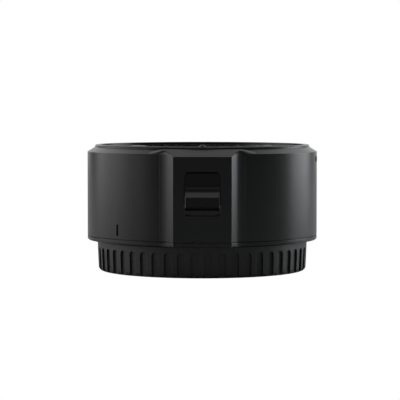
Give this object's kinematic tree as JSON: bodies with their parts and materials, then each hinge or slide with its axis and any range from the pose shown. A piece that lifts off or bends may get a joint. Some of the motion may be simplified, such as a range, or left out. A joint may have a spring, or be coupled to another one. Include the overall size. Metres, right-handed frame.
{
  "type": "lens adapter tube",
  "caption": "Lens adapter tube between an SLR lens and a mirrorless camera, with a slide lens release and a ribbed rear cap.",
  "frame": {"origin": "centre of the rear cap's flat underside, on the optical axis", "axes": "+Z along the optical axis towards the lens, -Y towards the panel with the release slide"},
  "size_m": [0.07, 0.0723, 0.0387],
  "materials": {
    "barrel_paint": "fine-textured black paint",
    "slide_plastic": "smooth satin black",
    "cap_plastic": "moulded satin black",
    "mount_metal": "turned and plated",
    "spring_steel": "rolled",
    "screw_steel": "turned",
    "dark_steel": "blackened",
    "baffle_black": "matt anti-glare",
    "block_plastic": "moulded",
    "contact_gold": "gold-plated",
    "board_green": "solder mask",
    "chip_black": "moulded",
    "flex_amber": "polyimide film"
  },
  "bodies": {
    "adapter": {"outer_shell": "barrel_paint", "base_ring": "barrel_paint", "lens_mount": "mount_metal", "lens_mount_spring": "spring_steel", "lens_mount_screws": "screw_steel", "inner_tube": "baffle_black", "camera_mount": "mount_metal", "camera_mount_screws": "screw_steel", "base_ring_screws": "screw_steel", "slide_retainer": "spring_steel", "retainer_screws": "screw_steel", "lens_contact_block": "block_plastic", "lens_contact_screws": "screw_steel", "camera_contact_block": "block_plastic", "camera_contact_pads": "contact_gold", "camera_contact_screws": "screw_steel", "circuit_board": "board_green", "board_chips": "chip_black", "board_screws": "screw_steel", "flex_cable": "flex_amber"},
    "release": {"release_slide": "slide_plastic", "slide_carriage": "spring_steel", "slide_screws": "screw_steel", "lock_pin": "dark_steel", "release_spring": "spring_steel"},
    "contact_pins": {"lens_contact_pins": "contact_gold"},
    "cap": {"rear_cap": "cap_plastic"}
  },
  "joints": [
    {"name": "slide_release", "type": "slide", "parent": "adapter", "child": "release", "axis": [0, 0, -1], "range_m": [0, 0.0018], "stiffness_N_per_m": 400, "springref_m": -0.003, "deforming": ["release_spring"]},
    {"name": "contact_press", "type": "slide", "parent": "adapter", "child": "contact_pins", "axis": [0, 0, -1], "range_m": [0, 0.0006], "stiffness_N_per_m": 300, "springref_m": -0.001},
    {"name": "cap_pull", "type": "slide", "parent": "adapter", "child": "cap", "axis": [0, 0, -1], "range_m": [0, 0.012]}
  ]
}
